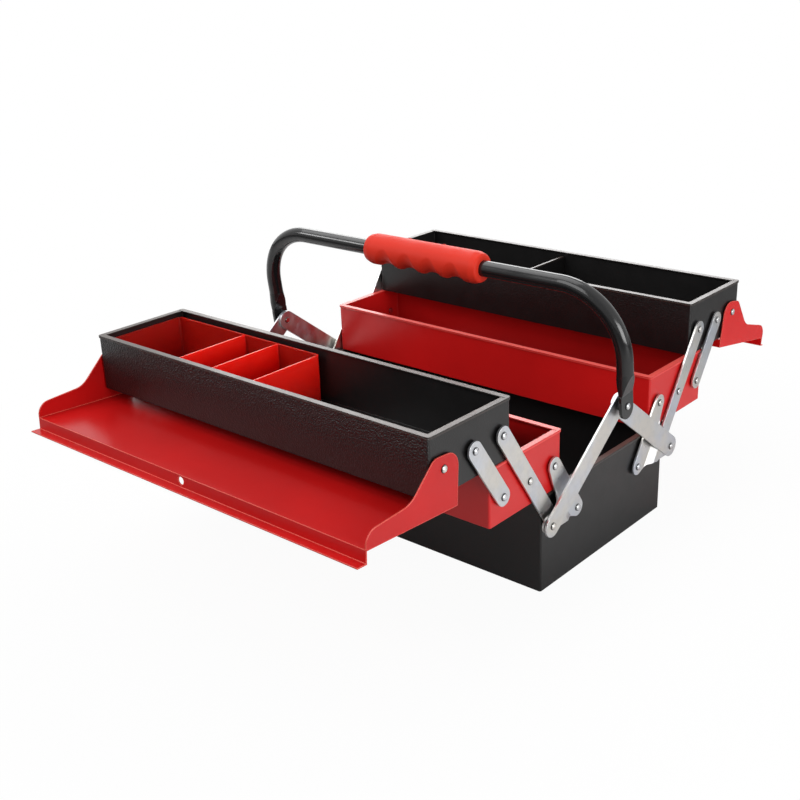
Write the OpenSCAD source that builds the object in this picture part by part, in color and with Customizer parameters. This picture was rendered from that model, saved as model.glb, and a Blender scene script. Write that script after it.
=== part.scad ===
// Cantilever tool box, drawn open: a base, two trays on each side that fan out on
// zinc plated links, two lids hung under the top trays, a folding carrying handle
// and a removable organiser. X runs along the box, +Y to the back, +Z up. The
// origin is the middle of the underside of the base. Millimetres.

/* [Box] */
// Length of the base and of every tray over the rims
box_l = 400; // [340:2:460]
// Depth of the base over the rims
base_d = 205; // [200:1:215]
// Height of the base
base_h = 91.5; // [86:0.5:110]
// Sheet thickness of the shells and lids
sheet = 1; // [0.8:0.1:1.4]
// Radius of the upright corners of the shells
corner_r = 2; // [1.5:0.5:3]
// How far the hem under a rim stands out from the wall
hem = 0.8; // [0.5:0.1:1]
// Height of the hem
hem_h = 2.2; // [1.8:0.1:4]
// Width of the folded rim, seen from above
rim_w = 5.5; // [4:0.5:7]
// Open joint between the long and the end rim strips
rim_gap = 0.8; // [0.5:0.1:1.5]

/* [Trays] */
// Depth of a tray over the rims
tray_d = 101; // [98:0.5:102]
// Height of a middle tray
mid_h = 52.5; // [48:0.5:58]
// Height of a top tray
top_h = 52; // [48:0.5:60]
// Air between one level and the next
level_gap = 0.5; // [0.4:0.1:1]
// Place along X of the divider in the back top tray
divider_x = -11; // [-100:1:100]
// How far the divider stays below the rim
divider_drop = 5; // [3:0.5:15]
// Width of the foot that the divider is welded down by
divider_foot = 8; // [6:1:12]

/* [Rivet pattern] */
// Inner face of a tray to its first rivet
hole_in = 14; // [12:0.5:16]
// Spacing of the rivets along a tray end
hole_pitch = 36; // [34:0.5:38]
// Height of the rivets above the floor of a tray
hole_h = 24; // [20:0.5:26]
// Height of the lid rivets above the floor of a top tray
ear_h = 22.5; // [20:0.5:25]
// Radius of a rivet shank
shank_r = 2.5; // [2:0.1:3]
// Running clearance of a shank in its hole, on the radius
fit = 0.05; // [0.03:0.01:0.08]
// Radius of a rivet head
head_r = 3.4; // [3:0.1:4.2]
// Height of a rivet head
head_h = 2; // [1.4:0.1:2]
// Radius of the collar that spaces a link off its wall
collar_r = 5.5; // [5:0.1:6.5]
// Thickness of the riveted tail on the inside
tail_h = 1; // [0.6:0.1:1.5]

/* [Links] */
// Thickness of the link strips
link_t = 1.8; // [1.5:0.1:2]
// Width of the tray links and of the leg of a crank
link_w = 16; // [14:0.5:17]
// Width of the links that go up to the handle
handle_link_w = 20; // [16:0.5:21]
// Length of the handle links between their pivots
handle_link_l = 127.4; // [124:0.2:131]
// Standoff of the tray links from the rims
link_off = 1.2; // [1:0.1:1.6]
// Air over rivet heads that a piece passes above
head_air = 0.4; // [0.3:0.1:0.6]
// Air between two strips that cross face to face
strip_air = 0.2; // [0.1:0.05:0.4]
// Reach of the side arm of a crank, outward from its base pivot
arm_out = 50; // [48:0.5:52]
// Rise of the side arm
arm_up = 5; // [4:0.5:7]
// Where the jog of the side arm starts and ends, square to the leg
jog_at = 11; // [10:0.5:12]
// Width of the jog
jog_w = 8; // [7:0.5:9]
// Foot of the web of a crank beyond the round end of its leg
web_foot = 6; // [4:0.5:8]
// Inner corner of the web short of the upper pivot
web_in = 6.5; // [4:0.5:9]
// Radius of the inner corner of the web
web_r = 14; // [9:0.5:14.5]

/* [Lids] */
// Lid pivot to the outside of the closed lid
lid_rise = 35.3; // [34:0.1:38]
// Reach of a lid from its pivot to the lip
lid_reach = 85; // [83:0.5:85]
// Overhang of a lid past its pivot, over the tray wall
lid_over = 17.2; // [16.6:0.1:18]
// Height of the turned edge next to the tray
lid_hem = 8; // [6:0.5:9]
// Height of the lip of the front lid
lip_front = 10.5; // [10:0.1:12]
// Height of the lip of the back lid
lip_back = 8.5; // [8.4:0.1:8.8]
// Width of the flange on the front lip
flange_front = 9; // [7:0.5:10]
// Width of the flange on the back lip, which goes under the front one
flange_back = 4; // [3:0.25:4]
// Radius of the padlock holes
lock_r = 3.4; // [3:0.1:3.4]
// Height of the padlock holes above the closed lid
lock_up = 3.9; // [3.8:0.1:4]
// Top of a lid ear above its pivot
ear_top = 11; // [9:0.5:12]
// Air between a lid ear and the tray rim
ear_air = 0.4; // [0.3:0.1:0.6]
// Rise of the open front lid towards its lip, degrees
lid_tilt_front = 3.25; // [0:0.25:5]
// Droop of the open back lid, degrees
lid_tilt_back = 10; // [4:0.5:11]

/* [Handle] */
// Outside radius of the handle tube
tube_r = 7.5; // [7:0.25:9]
// Wall of the handle tube
tube_t = 1.2; // [1:0.1:2]
// End rim of the box to the middle of a handle leg
leg_off = 17.5; // [17:0.5:20]
// Height of the handle bar above its pivots
bar_h = 105; // [95:1:115]
// Bend radius at the middle of the tube
bend_r = 61; // [50:1:68]
// Lean of the handle towards the front, degrees
lean = 7; // [0:0.5:12]
// Thickness of the flattened ends
flat_t = 3; // [2.6:0.1:4]
// Width of the flattened ends
flat_w = 19; // [17:0.5:21]
// End of the flattened part beyond the pivot
flat_end = 12; // [10.5:0.5:13]
// Height of the flat part above the pivot
flat_top = 12; // [11:0.5:16]
// Height of the crease where the tube is round again
crease_h = 32; // [28:0.5:36]
// Small step that the press leaves where the flat part starts
shoulder = 0.3; // [0.2:0.1:0.5]
// Length of the grip
grip_l = 137; // [120:1:150]
// Place along X of the middle of the grip
grip_x = 4; // [-10:1:10]
// Radius of the grip
grip_r = 15; // [13:0.25:16]
// Depth of the finger hollows under the grip
finger_d = 3.1; // [1.5:0.1:3.6]
// Number of finger hollows
fingers = 4; // [3:1:5]
// Plain end of the grip beyond the hollows
grip_end = 13; // [8:0.5:18]
// Width of the ridge between two hollows
ridge_w = 2.5; // [1:0.5:4]
// Turn of the grip on the tube, hollows towards the front, degrees
grip_turn = 20; // [0:5:45]
// Spacing of the two moulding pips on the grip's back
pip_gap = 42; // [30:1:60]
// Radius of a pip
pip_r = 2; // [1.5:0.25:3]

/* [Organiser] */
// Length of the organiser
org_l = 194; // [180:1:196]
// Its air to the end wall of the tray
org_end = 1; // [0.5:0.5:3]
// Air between the organiser and the rim strips
org_air = 0.7; // [0.5:0.1:1.5]
// Height of the organiser
org_h = 45; // [35:0.5:47]
// Wall of the organiser
org_t = 1.5; // [1.2:0.1:2]
// Radius of the organiser's upright corners
org_r = 4; // [2:0.5:6]
// Inside length of the first compartment
org_a = 94; // [80:1:100]
// Inside length of the second compartment
org_b = 43; // [36:1:46]

/* [Hidden] */
$fn = 48;
e = 0.01;
big = 1000;

// Levels: the links step one level, so their rise follows the tray height
pitch_v = mid_h + level_gap;
mid_z = base_h + level_gap;
top_z = mid_z + mid_h + level_gap;
piv_z = mid_z + hole_h - pitch_v;
crank_z = [piv_z, piv_z + pitch_v, piv_z + 2 * pitch_v];
open_shift = 2 * hole_pitch;
tray_in = base_d / 2 - tray_d;
// The three rivet columns of a closed tray, measured from the middle of the box
col = [tray_in + hole_in, tray_in + hole_in + hole_pitch, tray_in + hole_in + 2 * hole_pitch];
mid_y = tray_in + tray_d / 2 + open_shift;
top_y = mid_y + open_shift;
ear_y = col[2] + 2 * open_shift;
ear_z = top_z + ear_h;

// Layers along X at an end of the box
end_x = box_l / 2;
wall_x = end_x - hem;
x1 = end_x + link_off;
x2 = x1 + link_t + head_h + head_air;
x3 = x2 + link_t + strip_air;
x4 = x3 + link_t + strip_air;
leg_x = end_x + leg_off;
flat_x = leg_x - flat_t / 2;
ear_x = end_x + ear_air;

// The crank and what hangs on its arm
leg_angle = atan2(pitch_v, hole_pitch);
arm_y = col[1] + arm_out;
arm_z = piv_z + arm_up;
handle_z = arm_z + sqrt(handle_link_l * handle_link_l - arm_y * arm_y);

zinc = "silver";
black = [0.13, 0.12, 0.13];
red = [0.75, 0.1, 0.1];

module ends() { children(); mirror([1, 0, 0]) children(); }
module front() { mirror([0, 1, 0]) children(); }
// A plate in the YZ plane, from x outward
module plate(x, t) { translate([x, 0, 0]) rotate([90, 0, 90]) linear_extrude(t) children(); }
module along_x(x, y, z) { translate([x, y, z]) rotate([0, 90, 0]) children(); }
module drill(x, y, z, l, r) { along_x(x, y, z) cylinder(h = l, r = r); }

module rrect(l, d, r) {
  square([l - 2 * r, d], center = true);
  square([l, d - 2 * r], center = true);
  for (i = [-1, 1], j = [-1, 1])
    translate([i * (l / 2 - r), j * (d / 2 - r)]) circle(r);
}

// A closed outline whose corners are rounded, from points [x, y, radius]
function unit(v) = v / norm(v);
function corner(a, b, c, r, n) =
  let (u = unit(a - b), v = unit(c - b), half = acos(u * v) / 2,
       m = b + unit(u + v) * r / sin(half),
       s = b + u * r / tan(half) - m, t = b + v * r / tan(half) - m,
       a0 = atan2(s[1], s[0]), turn = (atan2(t[1], t[0]) - a0 + 540) % 360 - 180)
  r == 0 ? [b] : [for (i = [0:n]) m + r * [cos(a0 + turn * i / n), sin(a0 + turn * i / n)]];
function arc(c, r, a0, a1, n = 12) =
  [for (i = [0:n]) c + r * [cos(a0 + (a1 - a0) * i / n), sin(a0 + (a1 - a0) * i / n)]];
function xy(p) = [p[0], p[1]];
function rounded(pts, n = 6) = let (k = len(pts))
  [for (i = [0:k - 1]) each corner(xy(pts[(i + k - 1) % k]), xy(pts[i]),
                                   xy(pts[(i + 1) % k]), pts[i][2], n)];

// ---- shells -------------------------------------------------------------

// The strips are cut apart at the two corners on one long side
module rim_strips(l, d, h, side) {
  difference() {
    translate([0, 0, h - hem_h]) linear_extrude(hem_h) rrect(l, d, corner_r + hem);
    translate([0, 0, h - hem_h - e]) linear_extrude(hem_h - sheet + e)
      rrect(l - 2 * hem - 2 * sheet, d - 2 * hem - 2 * sheet, corner_r - sheet);
    translate([0, 0, h - sheet - e]) linear_extrude(sheet + 2 * e)
      rrect(l - 2 * rim_w, d - 2 * rim_w, 1);
    for (i = [-1, 1])
      translate([i * (l / 2 - rim_w / 2 - hem / 2 - sheet / 2),
                 side * (d / 2 - rim_w - rim_gap / 2), h - sheet / 2])
        cube([rim_w - hem - sheet, rim_gap, sheet + 2 * e], center = true);
  }
}

module shell(l, d, h, side) {
  difference() {
    linear_extrude(h - sheet) rrect(l - 2 * hem, d - 2 * hem, corner_r);
    translate([0, 0, sheet]) linear_extrude(h)
      rrect(l - 2 * hem - 2 * sheet, d - 2 * hem - 2 * sheet, corner_r - sheet);
  }
  rim_strips(l, d, h, side);
}

module end_holes(ys, z) {
  ends() for (y = ys) drill(wall_x - 3 * sheet, y, z, 4 * sheet, shank_r + fit);
}

module base_shell() {
  color(black) difference() {
    shell(box_l, base_d, base_h, 1);
    end_holes([col[1], col[2], -col[1], -col[2]], piv_z);
  }
}

module mid_tray(side) {
  difference() {
    translate([0, mid_y, mid_z]) shell(box_l, tray_d, mid_h, side);
    end_holes([for (c = col) c + open_shift], mid_z + hole_h);
  }
}

module top_tray(side) {
  difference() {
    translate([0, top_y, top_z]) shell(box_l, tray_d, top_h, side);
    end_holes([col[0] + 2 * open_shift, col[1] + 2 * open_shift], top_z + hole_h);
    end_holes([ear_y], ear_z);
  }
}

module front_mid_tray() { color(red) front() mid_tray(-1); }
module back_mid_tray() { color(red) mid_tray(1); }
module front_top_tray() { color(black) front() top_tray(-1); }
module back_top_tray() { color(black) top_tray(1); }

// Folded sheet: a foot welded to the floor and a blade with a turned top edge
module back_divider() {
  d = tray_d - 2 * hem - 2 * sheet;
  h = top_h - divider_drop - sheet;
  color(black) translate([divider_x, top_y, top_z + sheet]) difference() {
    union() {
      translate([0, -d / 2, 0]) cube([sheet, d, h]);
      translate([0, -d / 2, 0]) cube([divider_foot, d, sheet]);
      translate([0, -d / 2, h - sheet]) cube([2.5 * sheet, d, sheet]);
    }
    // Corners cut away under the hems
    for (j = [-1, 1]) translate([-e, j * d / 2, h]) rotate([0, 90, 0])
      cylinder(h = divider_foot, r = 2);
  }
}

// ---- rivets -------------------------------------------------------------

// A dome-headed rivet along X. It stands on a wall at x = 0, a collar holds the
// strip off the wall, and the head lies on the strip's outside at x = out.
module rivet(tail, collar, out) {
  rotate([0, 90, 0]) rotate_extrude() polygon(concat(
    [[0, -tail - tail_h], [head_r, -tail - tail_h], [head_r, -tail], [shank_r, -tail]],
    collar > 0 ? [[shank_r, 0], [collar_r, 0], [collar_r, collar], [shank_r, collar]] : [],
    [[shank_r, out], [head_r, out]],
    [for (i = [1:5]) [head_r * cos(18 * i), out + head_h * sin(18 * i)]]));
}
module wall_rivet(y, z) {
  ends() translate([wall_x, y, z]) rivet(sheet, x1 - wall_x, x1 + link_t - wall_x);
}
module mid_rivets() { for (c = col) wall_rivet(c + open_shift, mid_z + hole_h); }
module top_rivets() {
  for (c = [col[0], col[1]]) wall_rivet(c + 2 * open_shift, top_z + hole_h);
  ends() translate([wall_x, ear_y, ear_z])
    rivet(sheet, ear_x - wall_x, ear_x + sheet - wall_x);
}
// The rivet that joins the arm of a crank to its handle link
module arm_rivets(x) {
  ends() translate([x2 + link_t, arm_y, arm_z]) rotate([0, 90, 0]) rotate_extrude()
    polygon(concat(
      [[0, -link_t], [shank_r, -link_t]],
      x > x3 ? [[shank_r, 0], [collar_r, 0], [collar_r, x - x2 - link_t],
                [shank_r, x - x2 - link_t]] : [],
      [[shank_r, x - x2], [head_r, x - x2]],
      [for (i = [1:5]) [head_r * cos(18 * i), x - x2 + head_h * sin(18 * i)]]));
}

module base_rivets() {
  color(zinc) for (y = [col[1], col[2], -col[1], -col[2]]) wall_rivet(y, piv_z);
}
module front_mid_rivets() { color(zinc) front() mid_rivets(); }
module back_mid_rivets() { color(zinc) mid_rivets(); }
module front_top_rivets() { color(zinc) front() top_rivets(); }
module back_top_rivets() { color(zinc) top_rivets(); }
module front_arm_rivets() { color(zinc) front() arm_rivets(x4); }
module back_arm_rivets() { color(zinc) arm_rivets(x3); }

// ---- links --------------------------------------------------------------

// A strip with round ends and its holes, from the list of its pivots
module strip(x, w, piv) {
  a = piv[0];
  b = piv[len(piv) - 1];
  t = atan2(b[1] - a[1], b[0] - a[0]);
  plate(x, link_t) difference() {
    polygon(concat(arc(b, w / 2, t - 90, t + 90), arc(a, w / 2, t + 90, t + 270)));
    for (p = piv) translate(p) circle(shank_r + fit);
  }
}
module long_links() {
  ends() strip(x1, link_w, [for (i = [0:2]) [col[2] + i * hole_pitch, crank_z[i]]]);
}
module short_links() {
  ends() strip(x1, link_w, [for (i = [1:2]) [col[2] + (i + 1) * hole_pitch,
                                             crank_z[i]]]);
}

// Outline of a crank: the leg between two trays, and the web out to the side arm
module crank_outline() {
  w = link_w / 2;
  m = [hole_pitch, pitch_v];
  arm = [arm_out, arm_up];
  // The foot of the web, and its inner corner between the side arm and the leg
  foot = [w + web_foot, arm_up - w];
  nook = [hole_pitch - web_in, arm_up + w];
  side = m + w * [sin(leg_angle), -cos(leg_angle)];
  polygon(concat(
    arc([0, 0], w, leg_angle + 90, 290),
    corner(w * [cos(290), sin(290)], foot, arm, web_foot / 2, 4),
    arc(arm, w, -90, 90),
    corner(arm + [0, w], nook, side, web_r, 12),
    arc(m, w, leg_angle - 90, leg_angle + 90)));
}
// The arm is jogged outward so that it passes over the rivet of the long link
module crank() {
  translate([0, col[1], piv_z]) intersection() {
    plate(x1, x2 + link_t - x1) difference() {
      crank_outline();
      for (p = [[0, 0], [hole_pitch, pitch_v], [arm_out, arm_up]])
        translate(p) circle(shank_r + fit);
    }
    rotate([leg_angle - 90, 0, 0]) translate([0, 0, -2 * pitch_v])
      linear_extrude(4 * pitch_v) polygon([
        [x1, -big], [x1, jog_at], [x2, jog_at + jog_w], [x2, big],
        [x2 + link_t, big], [x2 + link_t, jog_at + jog_w],
        [x1 + link_t, jog_at], [x1 + link_t, -big]]);
  }
}
module handle_links(x) {
  ends() strip(x, handle_link_w, [[arm_y, arm_z], [0, handle_z]]);
}

module front_cranks() { color(zinc) front() ends() crank(); }
module back_cranks() { color(zinc) ends() crank(); }
module front_long_links() { color(zinc) front() long_links(); }
module back_long_links() { color(zinc) long_links(); }
module front_short_links() { color(zinc) front() short_links(); }
module back_short_links() { color(zinc) short_links(); }
module front_handle_links() { color(zinc) front() handle_links(x4); }
module back_handle_links() { color(zinc) handle_links(x3); }
// The riveted ends that close the upper holes of the inner pair of handle links
module back_link_studs() {
  color(zinc) ends() along_x(x3 + link_t, 0, handle_z) mirror([0, 0, 1])
    rotate_extrude() polygon([[0, 0], [shank_r + fit, 0], [shank_r + fit, link_t],
      [head_r, link_t], [head_r * 0.8, link_t + tail_h], [0, link_t + tail_h]]);
}

// ---- lids ---------------------------------------------------------------

// Outline of an ear, from the lid's pivot: p outward over the open lid, q up
module ear_outline() {
  difference() {
    polygon(rounded([
      [-lid_over, -lid_rise, 0], [-lid_over, ear_top, 13], [ear_top, ear_top, 10],
      [37, -16, 20], [lid_reach + 1.5, -21.5, 12],
      [lid_reach, -lid_rise + 1, 0], [lid_reach, -lid_rise, 0]]));
    circle(shank_r + fit);
  }
}
module lid(tilt, lip, flange) {
  half = ear_x + sheet;
  translate([0, ear_y, ear_z]) rotate([tilt, 0, 0]) {
    ends() plate(ear_x, sheet) ear_outline();
    difference() {
      translate([-half, 0, 0]) plate(0, 2 * half) {
        // Panel, turned edge by the tray, lip and flange: one bent sheet
        translate([-lid_over, -lid_rise]) square([lid_over + lid_reach, sheet]);
        translate([-lid_over, -lid_rise]) square([sheet, lid_hem]);
        translate([lid_reach - sheet, -lid_rise - lip]) square([sheet, lip + sheet]);
        translate([lid_reach - sheet, -lid_rise - lip]) square([flange + sheet, sheet]);
      }
      translate([0, lid_reach - 2 * sheet, -lid_rise - lock_up]) rotate([-90, 0, 0])
        cylinder(h = 3 * sheet, r = lock_r);
    }
  }
}
module front_lid() { color(red) front() lid(lid_tilt_front, lip_front, flange_front); }
module back_lid() { color(red) lid(-lid_tilt_back, lip_back, flange_back); }

// ---- handle -------------------------------------------------------------

module at_handle() { translate([0, 0, handle_z]) rotate([lean, 0, 0]) children(); }

// Half of the bail's centre line, as a solid of radius r from the crease up
module half_bail(r, z0) {
  translate([leg_x, 0, z0]) cylinder(h = bar_h - bend_r - z0, r = r);
  translate([leg_x - bend_r, 0, bar_h - bend_r]) rotate([90, 0, 0])
    rotate_extrude(angle = 90) translate([bend_r, 0]) circle(r);
  translate([0, 0, bar_h]) rotate([0, 90, 0]) cylinder(h = leg_x - bend_r, r = r);
}
module flat_end_2d() {
  polygon(concat(arc([0, flat_w / 2 - flat_end], flat_w / 2, 180, 360, 16),
                 [[flat_w / 2, flat_top], [-flat_w / 2, flat_top]]));
}
module handle_tube() {
  color(black) at_handle() {
    difference() {
      ends() half_bail(tube_r, crease_h);
      ends() half_bail(tube_r - tube_t, crease_h + tube_t);
    }
    ends() {
      // The pressed end, and the taper where the round tube runs out into it
      plate(flat_x, flat_t) difference() {
        flat_end_2d();
        circle(shank_r + fit);
      }
      intersection() {
        translate([leg_x, 0, flat_top])
          cylinder(h = crease_h - flat_top, r1 = flat_w / 2 - shoulder, r2 = tube_r);
        translate([0, flat_w, 0]) rotate([90, 0, 0]) linear_extrude(2 * flat_w) polygon([
          [flat_x, flat_top], [flat_x + flat_t, flat_top],
          [leg_x + tube_r + shoulder, crease_h], [leg_x - tube_r - shoulder, crease_h]]);
      }
    }
  }
}
// Shank through the outer handle link and the pressed end, with a spacing collar
module handle_rivets() {
  color(zinc) ends() translate([x4, 0, handle_z]) rotate([0, 90, 0]) rotate_extrude()
    polygon(concat(
      [[0, 0], [shank_r, 0], [shank_r, link_t], [collar_r, link_t],
       [collar_r, flat_x - x4], [shank_r, flat_x - x4],
       [shank_r, flat_x + flat_t - x4], [head_r, flat_x + flat_t - x4]],
      [for (i = [1:5]) [head_r * cos(18 * i), flat_x + flat_t - x4 + head_h * sin(18 * i)]]));
}
module handle_grip() {
  pitch = (grip_l - 2 * grip_end) / fingers;
  half = pitch / 2 - ridge_w / 2;
  cut_r = (half * half + finger_d * finger_d) / (2 * finger_d);
  color([0.85, 0.2, 0.15]) at_handle() translate([grip_x, 0, bar_h])
    rotate([-grip_turn, 0, 0]) difference() {
      union() {
        along_x(-grip_l / 2, 0, 0) rotate([0, 0, 90]) rotate_extrude()
          polygon(rounded([[0, 0, 0], [grip_r - 2, 0, 3], [grip_r, 7, 8],
            [grip_r, grip_l - 7, 8], [grip_r - 2, grip_l, 3], [0, grip_l, 0]]));
        for (i = [-1, 1]) translate([i * pip_gap / 2, 0, grip_r - 2])
          cylinder(h = 2.5, r1 = pip_r + 0.5, r2 = pip_r - 0.5);
      }
      along_x(-grip_l, 0, 0) cylinder(h = 2 * grip_l, r = tube_r + fit);
      // Finger hollows: rings set off centre, deepest on the underside
      for (i = [0:fingers - 1])
        along_x((i - (fingers - 1) / 2) * pitch, 0, finger_d)
          rotate_extrude() translate([grip_r + cut_r, 0]) circle(cut_r, $fn = 96);
    }
}

// ---- organiser ----------------------------------------------------------

module organiser() {
  d = tray_d - 2 * rim_w - 2 * org_air;
  org_c = org_l - 4 * org_t - org_a - org_b;
  starts = [org_t, 2 * org_t + org_a, 3 * org_t + org_a + org_b];
  color([0.85, 0.12, 0.08])
    translate([-end_x + hem + sheet + org_end, -top_y, top_z + sheet]) difference() {
      translate([org_l / 2, 0]) linear_extrude(org_h) rrect(org_l, d, org_r);
      for (i = [0:2]) let (w = [org_a, org_b, org_c][i])
        translate([starts[i] + w / 2, 0, org_t]) linear_extrude(org_h)
          rrect(w, d - 2 * org_t, 2.5);
    }
}

base_shell();
base_rivets();
front_mid_tray();
front_mid_rivets();
front_top_tray();
front_top_rivets();
front_cranks();
front_arm_rivets();
front_long_links();
front_short_links();
front_handle_links();
front_lid();
organiser();
back_mid_tray();
back_mid_rivets();
back_top_tray();
back_top_rivets();
back_divider();
back_cranks();
back_arm_rivets();
back_long_links();
back_short_links();
back_handle_links();
back_link_studs();
back_lid();
handle_rivets();
handle_tube();
handle_grip();
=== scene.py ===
import math
import bpy
from mathutils import Matrix, Vector


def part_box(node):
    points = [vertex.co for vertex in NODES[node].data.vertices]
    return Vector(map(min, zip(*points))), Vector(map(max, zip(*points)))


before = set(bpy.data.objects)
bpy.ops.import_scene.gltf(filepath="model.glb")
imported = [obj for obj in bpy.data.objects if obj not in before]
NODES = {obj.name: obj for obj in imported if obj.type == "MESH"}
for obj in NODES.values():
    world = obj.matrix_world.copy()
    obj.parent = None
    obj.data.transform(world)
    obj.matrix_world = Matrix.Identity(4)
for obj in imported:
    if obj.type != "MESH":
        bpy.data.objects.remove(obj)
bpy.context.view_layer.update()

# ---- camera, solved from the photograph ---------------------------------
AZIMUTH, ELEVATION, ROLL = (math.radians(a) for a in (41.78, 21.8, -2.16))
DISTANCE = 1.12484
AIM = Vector((-0.00242, -0.04903, 0.1146))
LENS_MM, SENSOR_MM = 52.25, 36
NEAR_CLIP = 0.02


def place_camera():
    back = Vector((math.sin(AZIMUTH) * math.cos(ELEVATION),
                   -math.cos(AZIMUTH) * math.cos(ELEVATION),
                   math.sin(ELEVATION)))
    right = (-back).cross(Vector((0, 0, 1))).normalized()
    up = right.cross(-back)
    right, up = (math.cos(ROLL) * right + math.sin(ROLL) * up,
                 -math.sin(ROLL) * right + math.cos(ROLL) * up)
    data = bpy.data.cameras.new("camera")
    data.sensor_width = SENSOR_MM
    data.lens = LENS_MM
    data.clip_start = NEAR_CLIP
    camera = bpy.data.objects.new("camera", data)
    turn = Matrix((right, up, back)).transposed().to_4x4()
    camera.matrix_world = Matrix.Translation(AIM + DISTANCE * back) @ turn
    bpy.context.scene.collection.objects.link(camera)
    bpy.context.scene.camera = camera


place_camera()
bpy.context.scene.view_settings.view_transform = "Standard"


# ---- shader nodes ---------------------------------------------------------
class Tree:
    """A shader's node tree, and short calls for the nodes that it is built from."""

    def __init__(self, tree):
        self.tree = tree

    def put(self, node, values):
        """Links each value that is a socket to its input, and sets the others."""
        for key, value in values.items():
            if isinstance(value, bpy.types.NodeSocket):
                self.tree.links.new(value, node.inputs[key])
            else:
                node.inputs[key].default_value = value

    def add(self, kind, values=None, **attrs):
        node = self.tree.nodes.new(kind)
        for key, value in attrs.items():
            setattr(node, key, value)
        self.put(node, values or {})
        return node

    def calc(self, operation, a, b=0.0):
        return self.add("ShaderNodeMath", {0: a, 1: b}, operation=operation).outputs[0]

    def ramp(self, value, low, high, at_low=0.0, at_high=1.0):
        """at_low where the value is at low, at_high where it is at high, and even between the
        two. low may be the larger, and beyond them the result stays as it is there."""
        return self.add("ShaderNodeMapRange",
                        {"Value": value, "From Min": low, "From Max": high,
                         "To Min": at_low, "To Max": at_high}).outputs[0]

    def part(self, vector, axis):
        return self.add("ShaderNodeSeparateXYZ", {0: vector}).outputs[axis]


# ---- patterns and masks of the materials ----------------------------------
BEVEL_SAMPLES = 4
NOISE_ROUGHNESS = 0.55
MIX_SHARE, MIX_A, MIX_B, MIX_COLOR = 0, 6, 7, 2  # sockets of the Mix node's colour mode
FACES, ASIDE = 0.7, 0.3               # part of the normal along an axis: a face looks along
                                      # it above the one, and stands across it below the other
RIM_DEPTH = 0.0013                    # the rim's upper face lies within this of the top
HEM_LOW, HEM_HIGH = 0.0021, 0.0007    # the hem's upright face, measured down from the top
EDGE_FLAT, EDGE_TURNED = 0.995, 0.8   # cosine of the rounded normal's turn: no edge, full edge
OUTWARD = 0.004                       # place times normal, above which a wall's face is outer


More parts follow.
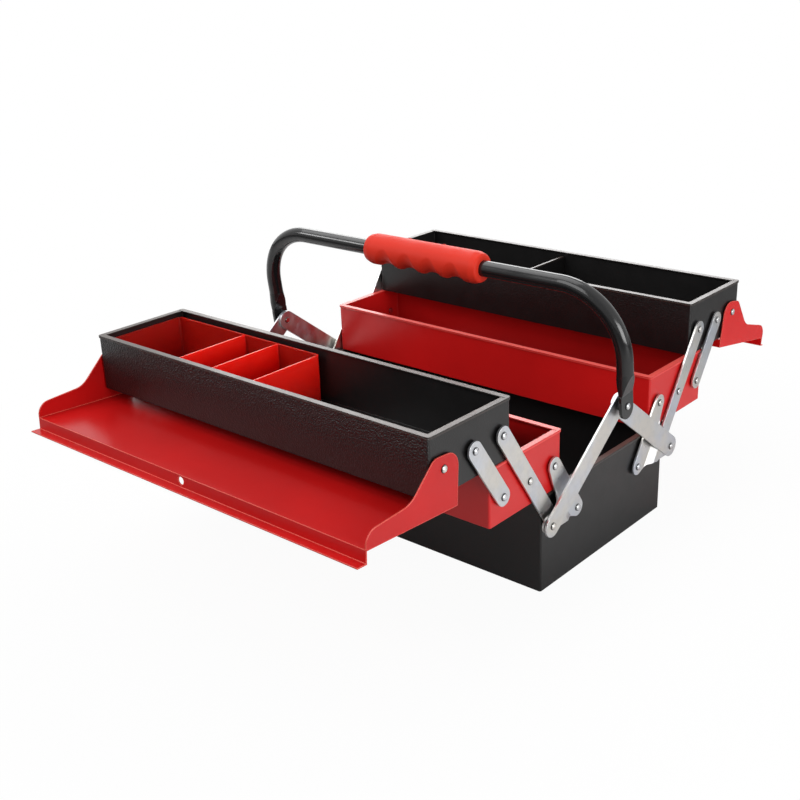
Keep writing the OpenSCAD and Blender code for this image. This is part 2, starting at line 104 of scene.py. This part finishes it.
class Mat(Tree):
    """A Principled material whose patterns and masks run in the frame's own metres."""

    def __init__(self, name, color, rough, metal=0.0, spec=0.5):
        self.material = bpy.data.materials.new(name)
        self.material.use_nodes = True
        self.material.diffuse_color = (*color, 1)
        super().__init__(self.material.node_tree)
        self.shader = self.tree.nodes["Principled BSDF"]
        self.set({"Base Color": (*color, 1), "Roughness": rough, "Metallic": metal,
                  "Specular IOR Level": spec})
        coordinates = self.add("ShaderNodeTexCoord").outputs
        self.place, self.normal = coordinates["Object"], coordinates["Normal"]

    def set(self, values):
        self.put(self.shader, values)

    def at(self, axis):
        """The place along this axis."""
        return self.part(self.place, axis)

    def facing(self, axis):
        """The part of the face's normal along this axis."""
        return self.part(self.normal, axis)

    def facing_either_way(self, axis):
        return self.calc("ABSOLUTE", self.facing(axis))

    def noise(self, scale, detail, place=None):
        return self.add("ShaderNodeTexNoise",
                        {"Vector": place or self.place, "Scale": scale, "Detail": detail,
                         "Roughness": NOISE_ROUGHNESS}).outputs[0]

    def patches(self, scale, detail, low, high, least=0.0, most=1.0):
        """Patches of noise: least where the noise is low, most where it is high."""
        return self.ramp(self.noise(scale, detail), low, high, least, most)

    def stretched(self, scale):
        return self.add("ShaderNodeMapping", {"Vector": self.place, "Scale": scale}).outputs[0]

    def cells(self, scale, smoothness):
        return self.add("ShaderNodeTexVoronoi",
                        {"Vector": self.place, "Scale": scale, "Smoothness": smoothness},
                        feature="SMOOTH_F1").outputs[0]

    def mix(self, share, a, b):
        """Colour a, with this share of colour b."""
        a, b = (c if isinstance(c, bpy.types.NodeSocket) else (*c, 1) for c in (a, b))
        return self.add("ShaderNodeMix", {MIX_SHARE: share, MIX_A: a, MIX_B: b},
                        data_type="RGBA").outputs[MIX_COLOR]

    def bevel(self, radius):
        return self.add("ShaderNodeBevel", {"Radius": radius}, samples=BEVEL_SAMPLES).outputs[0]

    def bump(self, height, strength, distance, normal):
        return self.add("ShaderNodeBump",
                        {"Height": height, "Strength": strength, "Distance": distance,
                         "Normal": normal}).outputs[0]

    def edges(self, radius, strength=1.0):
        """This strength along the solid's edges and 0 elsewhere, from how far the rounded
        normal turns away."""
        flat = self.add("ShaderNodeNewGeometry").outputs["Normal"]
        turn = self.add("ShaderNodeVectorMath", {0: self.bevel(radius), 1: flat},
                        operation="DOT_PRODUCT").outputs["Value"]
        return self.calc("MULTIPLY", self.ramp(turn, EDGE_FLAT, EDGE_TURNED), strength)

    def rim(self, top):
        """1 on the folded rim's upward faces, at this height."""
        high = self.calc("GREATER_THAN", self.at("Z"), top - RIM_DEPTH)
        flat = self.calc("GREATER_THAN", self.facing("Z"), FACES)
        return self.calc("MULTIPLY", high, flat)

    def hem(self, top):
        """1 on the upright face of the folded hem, below its rounded upper edge."""
        above = self.calc("GREATER_THAN", self.at("Z"), top - HEM_LOW)
        below = self.calc("LESS_THAN", self.at("Z"), top - HEM_HIGH)
        upright = self.calc("LESS_THAN", self.facing_either_way("Z"), ASIDE)
        return self.calc("MULTIPLY", self.calc("MULTIPLY", above, below), upright)

    def outer(self, mid_y):
        """1 on the outside of a tray's walls."""
        from_middle = self.calc("SUBTRACT", self.at("Y"), mid_y)
        outward = self.calc("ADD", self.calc("MULTIPLY", self.at("X"), self.facing("X")),
                            self.calc("MULTIPLY", from_middle, self.facing("Y")))
        return self.calc("GREATER_THAN", outward, OUTWARD)

    def inside(self, top, mid_y, depth, share):
        """Painted shade on the inner faces of a tray, deeper towards its floor."""
        inner = self.calc("SUBTRACT", 1.0, self.outer(mid_y))
        lost = self.ramp(self.at("Z"), top - depth, top, at_low=1 - share, at_high=0.0)
        return self.calc("MULTIPLY", inner, lost)


# ---- colours ----------------------------------------------------------------
BLACK = (0.0062, 0.0056, 0.0057)
# colour of the painted shade inside a tray
INNER_SHADE_BLACK = (0, 0, 0)
# painted reflection: the black rims' upper faces are paler, as the bright backdrop would show in them
RIM_SHEEN = (0.062, 0.045, 0.038)
# painted dark reflection along the black pieces' edges
EDGE_DARK_REFLECTION = (0.002, 0.002, 0.002)
RED = (0.63, 0.0085, 0.0085)
# painted reflection on the red rims' upper faces, and painted highlight along their edges
RED_RIM_SHEEN = (0.80, 0.085, 0.07)
# the lids' one red, painted darker on the front lid and paler on the back lid as painted shade and
# light
LID_RED_LIT_AND_SHADED = {"front": (0.57, *RED[1:]), "back": (0.72, *RED[1:])}
# painted highlight along the lids' bends and edges
LID_EDGE_HIGHLIGHT = (1.0, 0.19, 0.14)
ZINC = (0.69, 0.695, 0.70)
BRIGHT_ZINC = (0.80, 0.80, 0.80)
WARM, COLD = (1.04, 1.0, 0.93), (0.94, 0.98, 1.06)  # factors on the plating's own colour
# painted dark reflection round the rim of a rivet's dome
RIVET_DARK_REFLECTION = (0.035, 0.035, 0.037)
ORGANISER_RED = (0.85, 0.014, 0.006)
GRIP_RED = (0.74, 0.036, 0.018)
# painted highlight along the plastic's edges
PLASTIC_EDGE_HIGHLIGHT = (1.15, 2.4, 2.4)                     # factors on the plastic's own colour
TUBE_BLACK = (0.010, 0.010, 0.0105)
# painted highlight along the tube's bends
TUBE_EDGE_HIGHLIGHT = (0.10, 0.10, 0.10)


def shade(color, share):
    return [c * share for c in color]


def tinted(color, factors):
    return [min(1, c * factor) for c, factor in zip(color, factors)]


def blend(a, b, share):
    return [(1 - share) * p + share * q for p, q in zip(a, b)]


# ---- materials ----------------------------------------------------------------
BEND_R, STRIP_R = 0.0008, 0.0005            # shading radius of bends, and of strips' edges
# painted highlight on the hem's upright face
HEM_HIGHLIGHT = 0.55                            # how far the hem goes towards the rim's colour
WRINKLE_FULL, WRINKLE_FAINT = 0.012, 0.036  # measured down from the rim
WRINKLE_GRAIN = 0.5                         # share of fine noise in the wrinkle
GLOW_DEPTH, GLOW_REACH = 0.006, (1.0, 0.2, 0.1)
# painted shade on the insert: its walls are darkened towards its floor and where the tray's dark wall
# stands close behind them
INSERT_SHADE_H = 0.045                      # how far up an insert's walls lose light
INSERT_GAP = 0.003                          # an end wall this near the tray's end is backed
INSERT_DEEPEST_SHADE = 0.15                          # share of its colour where it is darkest
INSERT_SHADE_AT_FLOOR, INSERT_SHADE_BACKED = 0.75, 0.62  # how dark it is at its floor, and where backed


def wrinkle(m, top, mid_y):
    """Wrinkle finish: strongest high on the outside of the long walls."""
    long_side = m.ramp(m.facing_either_way("Y"), low=0.5, high=0.95, at_low=0.06)
    high = m.ramp(m.at("Z"), top - WRINKLE_FAINT, top - WRINKLE_FULL, at_low=0.3)
    where = m.calc("MULTIPLY", m.calc("MULTIPLY", long_side, high), m.outer(mid_y))
    grain = m.calc("MULTIPLY", m.noise(scale=1100, detail=3), WRINKLE_GRAIN)
    height = m.calc("ADD", m.cells(scale=700, smoothness=0.4), grain)
    return m.calc("MULTIPLY", height, where)


def paint(name, color, top, sheen_color, rough=0.32, texture=0.0, edge_light_and_shade=None, edge=0.5,
          inner_shading=None, worn=1.0, mid_y=0.0, spec=0.5, line=0.0009, lit=0.0):
    """Baked paint on folded sheet. top is the height of the rim, if the piece has one; the rim's
    upper faces and its hem take a painted sheen. texture is how deep the wrinkle lies on the
    long sides, worn how much the paint varies, edge and line how strong and how wide the painted
    edge line is: a painted highlight in the sheen colour, unless a dark edge colour paints a dark
    reflection there. The inner shading is (depth, share of the colour left at that depth) of
    painted shade inside a tray, deeper towards its floor, and lit is how much paler its inner
    faces are, as painted light."""
    m = Mat(name, color, rough, spec=spec)
    cloud = m.patches(scale=9, detail=4, low=0.3, high=0.7)
    marks = m.patches(scale=130, detail=4, low=0.62, high=0.78, most=0.3 * worn)
    gloss = m.patches(scale=60, detail=4, low=0.2, high=0.8,
                      least=rough - 0.05 * worn, most=rough + 0.06 * worn)
    body = m.mix(cloud, color, shade(color, 0.84))
    body = m.mix(marks, body, shade(color, 0.7))
    # inner faces painted paler: painted light
    if lit:
        body = m.mix(m.outer(mid_y), [c + lit for c in color], body)
    # painted shade inside the tray, deeper towards its floor
    if inner_shading:
        body = m.mix(m.inside(top, mid_y, *inner_shading), body, INNER_SHADE_BLACK)
    # the hem's upright face painted paler: a painted highlight
    if top is not None:
        body = m.mix(m.hem(top), body, blend(color, sheen_color, HEM_HIGHLIGHT))
    # painted edge line: a painted highlight in the sheen colour, or a painted dark reflection where a
    # dark edge colour is given
    body = m.mix(m.edges(line, strength=edge), body, edge_light_and_shade or sheen_color)
    # the rim's upper faces take the sheen colour: a painted reflection of the bright backdrop
    if top is not None:
        body = m.mix(m.rim(top), body, sheen_color)
    normal = m.bump(m.noise(scale=230, detail=2), strength=0.05 * worn, distance=0.0004,
                    normal=m.bevel(BEND_R))
    if texture:
        normal = m.bump(wrinkle(m, top, mid_y), strength=texture, distance=0.0008,
                        normal=normal)
    m.set({"Base Color": body, "Roughness": gloss, "Normal": normal})
    return m.material


def steel(name, tint, rough, dark_reflection_ring=False):
    """Zinc plating, partly warm and partly cold; on rivets the rim of the dome is darkened all round
    by a painted dark reflection.
    """
    m = Mat(name, tint, rough, metal=1.0)
    cold = m.patches(scale=24, detail=3, low=0.38, high=0.62)
    dull = m.patches(scale=160, detail=5, low=0.45, high=0.75, most=0.3)
    gloss = m.patches(scale=90, detail=5, low=0.3, high=0.7, least=rough - 0.09, most=rough + 0.1)
    color = m.mix(cold, tinted(tint, WARM), tinted(tint, COLD))
    color = m.mix(dull, color, shade(tint, 0.7))
    # painted dark reflection: the rim of each rivet's dome is darkened all round
    if dark_reflection_ring:
        color = m.mix(m.ramp(m.facing_either_way("X"), low=0.93, high=0.55), color, RIVET_DARK_REFLECTION)
    brushed = m.noise(scale=260, detail=4, place=m.stretched((1, 1, 6)))
    normal = m.bump(brushed, strength=0.06, distance=0.0003, normal=m.bevel(STRIP_R))
    m.set({"Base Color": color, "Roughness": gloss, "Normal": normal})
    return m.material


def painted_insert_shade(m, corner):
    """Painted shade on a thin translucent insert: deeper towards its floor, and on the walls that
    have the tray's dark wall close behind them."""
    end_x, low_z = corner[0], corner[2]
    low = m.ramp(m.at("Z"), low_z, low_z + INSERT_SHADE_H, at_low=INSERT_SHADE_AT_FLOOR, at_high=0.0)
    side = m.calc("GREATER_THAN", m.facing_either_way("Y"), FACES)
    end = m.calc("LESS_THAN", m.at("X"), end_x + INSERT_GAP)
    backed = m.calc("MULTIPLY", m.calc("MAXIMUM", side, end), INSERT_SHADE_BACKED)
    return m.calc("MAXIMUM", low, backed)


def plastic(name, color, rough, grain, edge, spec=0.5, glow=0.0, corner=None):
    """Moulded plastic; corner is the low corner of a thin translucent insert, from which its painted
    shade is measured.
    """
    m = Mat(name, color, rough, spec=spec)
    cloud = m.patches(scale=14, detail=3, low=0.3, high=0.7)
    gloss = m.patches(scale=45, detail=4, low=0.3, high=0.7, least=rough - 0.05, most=rough + 0.06)
    body = m.mix(cloud, color, shade(color, 0.9))
    if corner is not None:
        # painted shade on the insert's lower walls and backed walls
        body = m.mix(painted_insert_shade(m, corner), body, shade(color, INSERT_DEEPEST_SHADE))
    # painted highlight along the plastic's edges
    body = m.mix(m.edges(edge, strength=0.5), body, tinted(color, PLASTIC_EDGE_HIGHLIGHT))
    normal = m.bump(m.noise(scale=700, detail=3), strength=grain, distance=0.0003,
                    normal=m.bevel(edge))
    m.set({"Base Color": body, "Roughness": gloss, "Normal": normal,
           "Subsurface Weight": glow, "Subsurface Scale": GLOW_DEPTH,
           "Subsurface Radius": GLOW_REACH})
    return m.material


def tube_paint():
    """Glossy black paint with a slight orange peel."""
    m = Mat("tube_black", TUBE_BLACK, rough=0.2)
    # painted highlight along the tube's bends
    color = m.mix(m.edges(BEND_R, strength=0.6), TUBE_BLACK, TUBE_EDGE_HIGHLIGHT)
    gloss = m.patches(scale=40, detail=4, low=0.3, high=0.7, least=0.10, most=0.20)
    peel = m.bump(m.noise(scale=45, detail=2), strength=0.10, distance=0.0012,
                  normal=m.bevel(BEND_R))
    m.set({"Base Color": color, "Roughness": gloss, "Normal": peel})
    return m.material


# ---- which piece has which material -------------------------------------------
TOP_Z, MID_Z, BASE_Z = (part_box(n)[1][2] for n in ("front_top_tray", "front_mid_tray", "base_shell"))
# painted light on the black trays' and base's inner faces
INNER_PAINTED_LIGHT = 0.004
WRINKLE = {"front": 1.0, "back": 0.4}
# painted shade inside the red trays, (depth, share of the colour left there); deeper in the front
# tray
INNER_SHADE = {"front": (0.035, 0.15), "back": (0.05, 0.6)}


def dress(node, material):
    slots = NODES[node].data.materials
    slots.clear()
    slots.append(material)


def dress_side(side):
    top_y, mid_y = (sum(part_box(side + n)[i][1] for i in (0, 1)) / 2
                    for n in ("_top_tray", "_mid_tray"))
    dress(side + "_top_tray",
          paint(side + "_top_black", BLACK, TOP_Z, RIM_SHEEN, edge_light_and_shade=EDGE_DARK_REFLECTION,
                texture=WRINKLE[side], mid_y=top_y, lit=INNER_PAINTED_LIGHT))
    dress(side + "_mid_tray",
          paint(side + "_mid_red", RED, MID_Z, RED_RIM_SHEEN, worn=0.4, inner_shading=INNER_SHADE[side], mid_y=mid_y))
    dress(side + "_lid",
          paint(side + "_lid_red", LID_RED_LIT_AND_SHADED[side], None, LID_EDGE_HIGHLIGHT, rough=0.23, edge=1.0,
                worn=0.0, spec=0.3, line=0.0012))


def dress_metal():
    zinc = steel("zinc_strip", ZINC, rough=0.36)
    bright = steel("zinc_rivet", BRIGHT_ZINC, rough=0.22, dark_reflection_ring=True)
    for node in NODES:
        if "rivet" in node or "stud" in node:
            dress(node, bright)
        elif "link" in node or "crank" in node:
            dress(node, zinc)


dress("base_shell", paint("base_black", BLACK, BASE_Z, RIM_SHEEN, texture=0.04, edge_light_and_shade=EDGE_DARK_REFLECTION,
                          lit=INNER_PAINTED_LIGHT))
dress_side("front")
dress_side("back")
dress("back_divider", paint("divider_black", BLACK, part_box("back_divider")[1][2], RIM_SHEEN))
dress_metal()
dress("organiser", plastic("organiser_red", ORGANISER_RED, rough=0.34, grain=0.03, edge=0.0007,
                           glow=1.0, corner=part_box("organiser")[0]))
dress("handle_grip", plastic("grip_red", GRIP_RED, rough=0.48, grain=0.10, edge=0.0012,
                             spec=0.15))
dress("handle_tube", tube_paint())


# ---- floor, backdrop and light --------------------------------------------
FLOOR_SIZE, FLOOR_Z = 16, -0.0004
# Brightness of the paper in light and in reflections, from the front to the back
FRONT_DIM = {"low": -0.6, "high": -0.2, "at_low": 0.18, "at_high": 0.84}
BACK_DIM = {"low": 0.15, "high": 0.65, "at_low": 1.0, "at_high": 0.45}
# Share of plain white that the camera sees, from the object outwards
CLEARING = {"low": 0.25, "high": 0.6, "at_low": 0.95, "at_high": 1.0}
# Brightness of the room in reflections, by the Y of the direction
ROOM_DIM = {"low": -0.7, "high": -0.05, "at_low": 0.6, "at_high": 1.0}
ROOM_LIGHT = 0.34
WHITE = (1, 1, 1, 1)


def plane(name, size, z):
    s = size / 2
    mesh = bpy.data.meshes.new(name)
    mesh.from_pydata([(-s, -s, z), (s, -s, z), (s, s, z), (-s, s, z)], [], [(0, 1, 2, 3)])
    o = bpy.data.objects.new(name, mesh)
    bpy.context.scene.collection.objects.link(o)
    return o


def empty_tree(owner):
    owner.use_nodes = True
    owner.node_tree.nodes.clear()
    return Tree(owner.node_tree)


def paper():
    """White paper: pure white to the camera away from the object, where it still takes
    the light, and near the object it keeps a faint shadow."""
    material = bpy.data.materials.new("floor_white")
    t = empty_tree(material)
    place = t.add("ShaderNodeTexCoord").outputs["Object"]
    y = t.part(place, "Y")
    tone = t.calc("MULTIPLY", t.ramp(y, **FRONT_DIM), t.ramp(y, **BACK_DIM))
    lit = t.add("ShaderNodeBsdfDiffuse", {"Color": tone}).outputs[0]
    white = t.add("ShaderNodeEmission", {"Strength": 1.0}).outputs[0]
    away = t.add("ShaderNodeVectorMath", {0: place}, operation="LENGTH").outputs["Value"]
    seen = t.add("ShaderNodeLightPath").outputs["Is Camera Ray"]
    share = t.calc("MULTIPLY", seen, t.ramp(away, **CLEARING))
    both = t.add("ShaderNodeMixShader", {0: share, 1: lit, 2: white}).outputs[0]
    t.add("ShaderNodeOutputMaterial", {"Surface": both})
    return material


def room():
    """The room: white to the camera; in reflections white behind the object and above,
    and dimmer on the side the photographer stands on."""
    world = bpy.data.worlds.new("studio")
    bpy.context.scene.world = world
    t = empty_tree(world)
    y = t.part(t.add("ShaderNodeTexCoord").outputs["Generated"], "Y")
    path = t.add("ShaderNodeLightPath").outputs
    mirrored = t.calc("MULTIPLY", path["Is Glossy Ray"], t.ramp(y, **ROOM_DIM))
    seen = t.calc("MAXIMUM", path["Is Camera Ray"], mirrored)
    level = t.calc("MAXIMUM", seen, ROOM_LIGHT)
    sky = t.add("ShaderNodeBackground", {"Color": WHITE, "Strength": level}).outputs[0]
    t.add("ShaderNodeOutputWorld", {"Surface": sky})


def lamp(name, place, aim_z, width, height, watts):
    """A soft box that looks at the middle of the object, at this height."""
    data = bpy.data.lights.new(name, "AREA")
    data.shape = "RECTANGLE"
    data.size = width
    data.size_y = height
    data.energy = watts
    o = bpy.data.objects.new(name, data)
    o.location = place
    aim = Vector((0, 0, aim_z)) - Vector(place)
    o.rotation_euler = aim.to_track_quat("-Z", "Y").to_euler()
    bpy.context.scene.collection.objects.link(o)


plane("floor", FLOOR_SIZE, FLOOR_Z).data.materials.append(paper())
room()
lamp("key_right", (2.1, -0.4, 0.62), aim_z=0.12, width=1.3, height=0.9, watts=27.5)
lamp("front", (-0.5, -1.9, 1.7), aim_z=0.12, width=1.4, height=1.4, watts=20)
lamp("front_strip", (-1.7, -1.3, 1.35), aim_z=0.2, width=0.45, height=0.45, watts=6)
lamp("top", (-0.8, 0.1, 2.0), aim_z=0.1, width=1.8, height=1.8, watts=22)
lamp("back_left", (-1.3, 1.7, 1.0), aim_z=0.15, width=1.6, height=1.0, watts=16)
